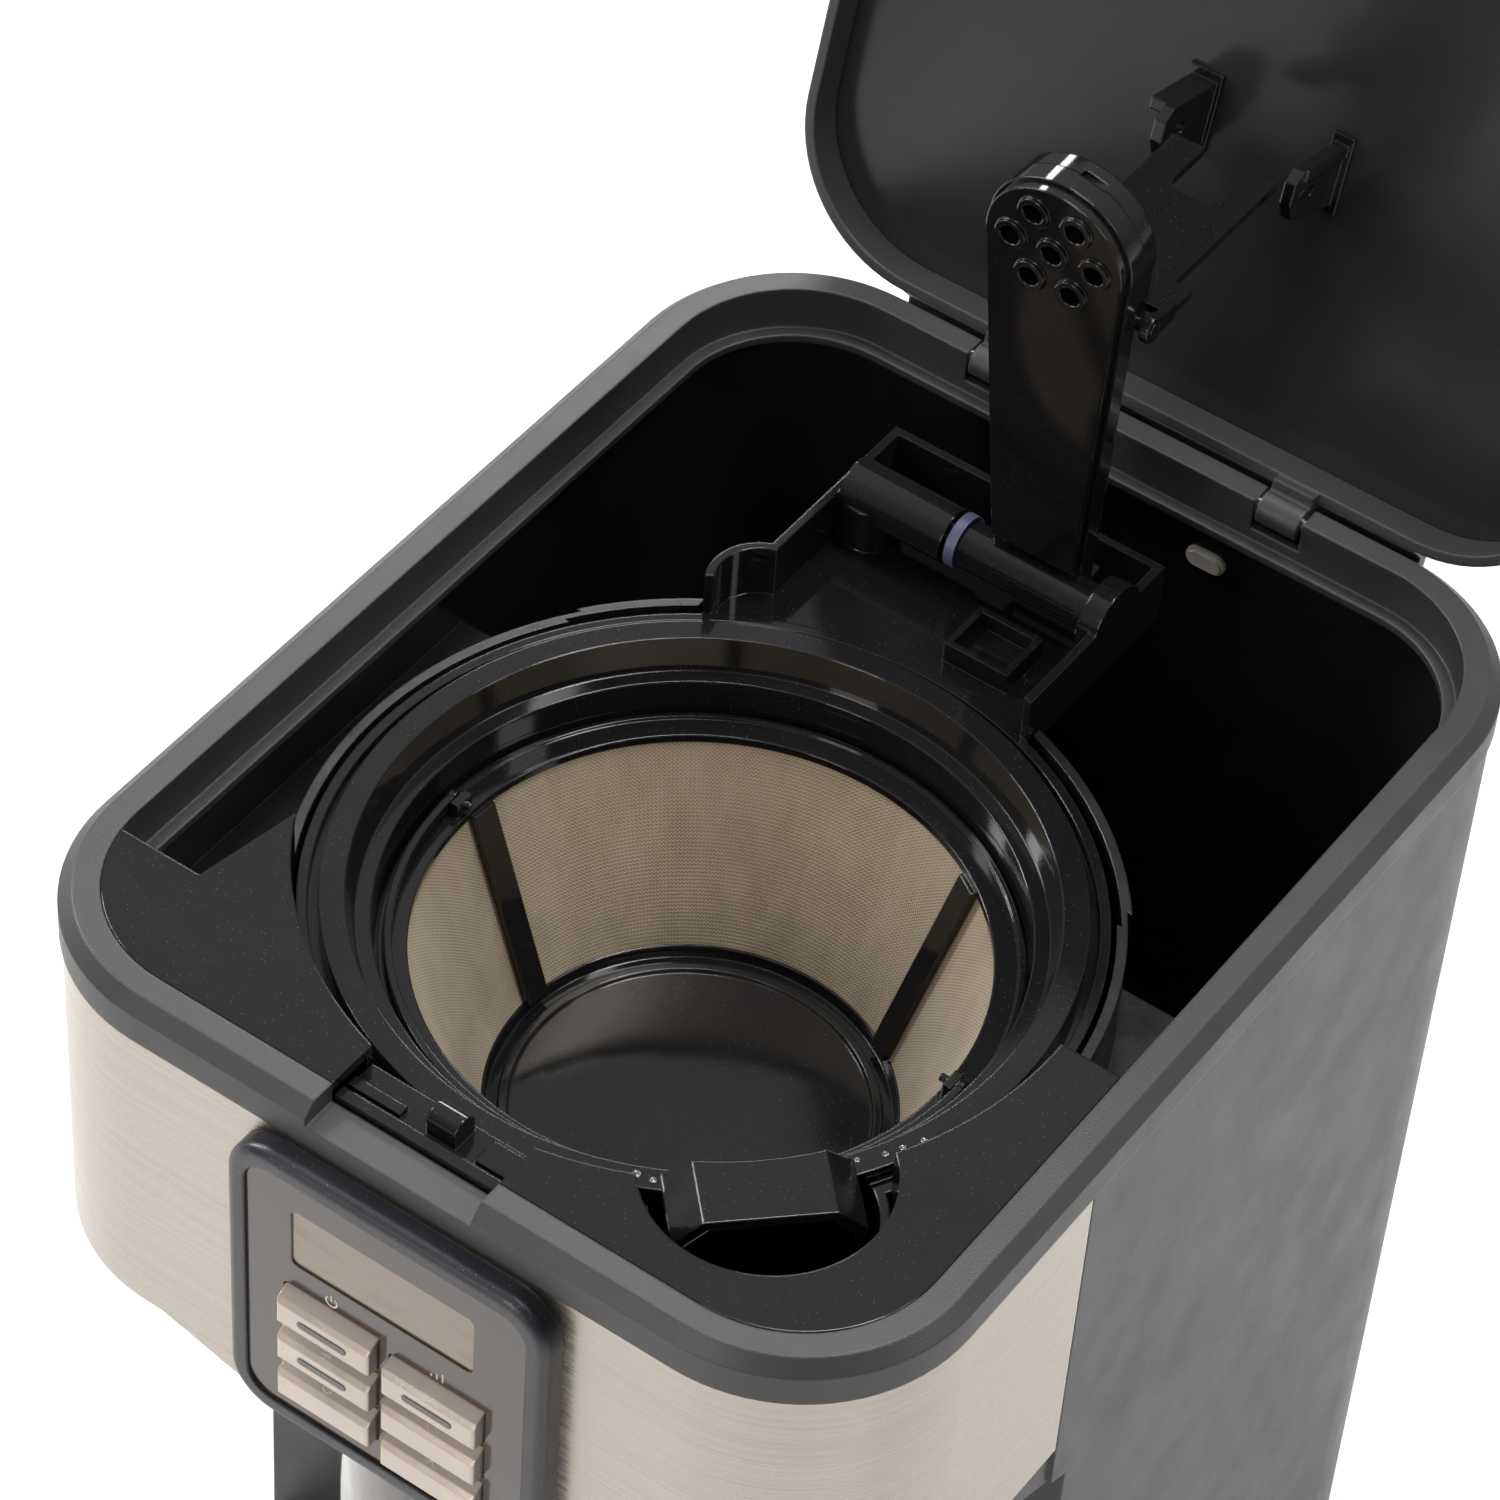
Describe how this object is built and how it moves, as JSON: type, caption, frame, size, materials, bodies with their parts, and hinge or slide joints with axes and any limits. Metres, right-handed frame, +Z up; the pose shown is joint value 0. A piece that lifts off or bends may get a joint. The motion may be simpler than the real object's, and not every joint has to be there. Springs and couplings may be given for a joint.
{
  "type": "drip coffee maker",
  "caption": "Drip coffee maker with an open hinged lid, swing-up spray arm, lift-out brew basket with mesh filter, water tank, key panel, warming plate and glass carafe.",
  "frame": {"origin": "on the table, under the middle of the whole machine with its lid open", "axes": "+Z up, -Y towards the user in front of the control panel, +X to the right as seen from the front"},
  "size_m": [0.21, 0.3514, 0.5849],
  "materials": {
    "black_satin_plastic": "satin moulded plastic",
    "black_gloss_plastic": "gloss moulded plastic",
    "stainless": "horizontally brushed",
    "bezel_plastic": "satin with fine sparkle",
    "panel_brown": "gloss smoked panel",
    "display_glass": "amber tinted window",
    "button_silver": "silver painted plastic",
    "filter_gold_mesh": "fine woven mesh",
    "clear_glass": "clear smoked glass",
    "silicone": "translucent silicone",
    "rubber": "matt rubber",
    "aluminium": "cast and drawn",
    "plate_coating": "non-stick coating",
    "steel": "bright steel",
    "circuit_board": "green laminate",
    "tank_plastic": "satin moulded plastic",
    "lcd_grey": "liquid crystal module"
  },
  "bodies": {
    "machine": {"base_housing": "black_satin_plastic", "base_screws": "steel", "basket_well": "black_gloss_plastic", "bottom_cover": "black_satin_plastic", "check_ball": "steel", "check_valve": "black_gloss_plastic", "cold_hose": "silicone", "control_board": "circuit_board", "cord_gland": "black_satin_plastic", "display_module": "lcd_grey", "display_window": "display_glass", "feet": "rubber", "front_deck": "black_gloss_plastic", "heater_pad": "aluminium", "heater_tube": "aluminium", "hinge_pins": "steel", "hose_clamps": "steel", "hot_hose": "silicone", "latch_seat": "black_gloss_plastic", "panel_bezel": "bezel_plastic", "panel_plate": "panel_brown", "plate_gasket": "silicone", "power_board": "circuit_board", "rear_housing": "black_satin_plastic", "reservoir": "tank_plastic", "riser_grommet": "silicone", "riser_tube": "black_gloss_plastic", "stainless_wrap": "stainless", "thermostat": "steel", "top_rim": "black_satin_plastic", "warming_plate": "plate_coating"},
    "lid": {"lid_shell": "black_satin_plastic", "lid_panel": "black_gloss_plastic", "lid_bracket": "black_gloss_plastic"},
    "spray_arm": {"arm_shell": "black_gloss_plastic", "shower_cover": "black_gloss_plastic", "pivot_o_ring": "silicone"},
    "lid_link": {"lid_link": "black_gloss_plastic"},
    "basket": {"basket": "black_gloss_plastic"},
    "drip_valve": {"valve_stem": "black_gloss_plastic", "valve_seal": "silicone", "valve_spring": "steel"},
    "filter": {"filter_frame": "black_gloss_plastic", "filter_mesh": "filter_gold_mesh"},
    "filter_bail": {"filter_bail": "black_gloss_plastic"},
    "carafe": {"carafe_glass": "clear_glass", "carafe_band": "stainless", "carafe_handle": "black_satin_plastic", "handle_screw": "steel"},
    "carafe_lid": {"carafe_lid": "black_satin_plastic"},
    "power_button": {"power_button": "button_silver"},
    "auto_button": {"auto_button": "button_silver"},
    "hour_button": {"hour_button": "button_silver"},
    "strength_button": {"strength_button": "button_silver"},
    "program_button": {"program_button": "button_silver"},
    "minute_button": {"minute_button": "button_silver"}
  },
  "joints": [
    {"name": "lid_hinge", "type": "hinge", "parent": "machine", "child": "lid", "pos_m": [0, 0.0997, 0.337], "axis": [-1, 0, 0], "range_deg": [-104, 0]},
    {"name": "arm_pivot", "type": "hinge", "parent": "machine", "child": "spray_arm", "pos_m": [0, 0.0512, 0.336], "axis": [-1, 0, 0], "range_deg": [-86, 0]},
    {"name": "link_pivot", "type": "hinge", "parent": "spray_arm", "child": "lid_link", "pos_m": [0.0046, 0.05444, 0.41442], "axis": [1, 0, 0], "range_deg": [-86, 0]},
    {"name": "basket_lift", "type": "slide", "parent": "machine", "child": "basket", "axis": [0, 0, 1], "range_m": [0, 0.13]},
    {"name": "drip_valve_lift", "type": "slide", "parent": "basket", "child": "drip_valve", "axis": [0, 0, 1], "range_m": [0, 0.0035], "stiffness_N_per_m": 250, "springref_m": -0.004, "deforming": ["valve_spring"]},
    {"name": "filter_lift", "type": "slide", "parent": "basket", "child": "filter", "axis": [0, 0, 1], "range_m": [0, 0.07]},
    {"name": "bail_hinge", "type": "hinge", "parent": "filter", "child": "filter_bail", "pos_m": [0, -0.0593, 0.3154], "axis": [-1, 0, 0], "range_deg": [0, 90]},
    {"name": "carafe_slide", "type": "slide", "parent": "machine", "child": "carafe", "axis": [0, -1, 0], "range_m": [0, 0.2]},
    {"name": "carafe_lid_twist", "type": "hinge", "parent": "carafe", "child": "carafe_lid", "pos_m": [0, -0.0593, 0.205], "axis": [0, 0, 1], "range_deg": [0, 35]},
    {"name": "power_button_press", "type": "slide", "parent": "machine", "child": "power_button", "axis": [0, 1, 0], "range_m": [0, 0.001], "stiffness_N_per_m": 900},
    {"name": "auto_button_press", "type": "slide", "parent": "machine", "child": "auto_button", "axis": [0, 1, 0], "range_m": [0, 0.001], "stiffness_N_per_m": 900},
    {"name": "hour_button_press", "type": "slide", "parent": "machine", "child": "hour_button", "axis": [0, 1, 0], "range_m": [0, 0.001], "stiffness_N_per_m": 900},
    {"name": "strength_button_press", "type": "slide", "parent": "machine", "child": "strength_button", "axis": [0, 1, 0], "range_m": [0, 0.001], "stiffness_N_per_m": 900},
    {"name": "program_button_press", "type": "slide", "parent": "machine", "child": "program_button", "axis": [0, 1, 0], "range_m": [0, 0.001], "stiffness_N_per_m": 900},
    {"name": "minute_button_press", "type": "slide", "parent": "machine", "child": "minute_button", "axis": [0, 1, 0], "range_m": [0, 0.001], "stiffness_N_per_m": 900}
  ],
  "couplings": [
    {"joint": "arm_pivot", "follows": "lid_hinge", "ratio": 0.82692},
    {"joint": "link_pivot", "follows": "lid_hinge", "ratio": 0.82692}
  ]
}
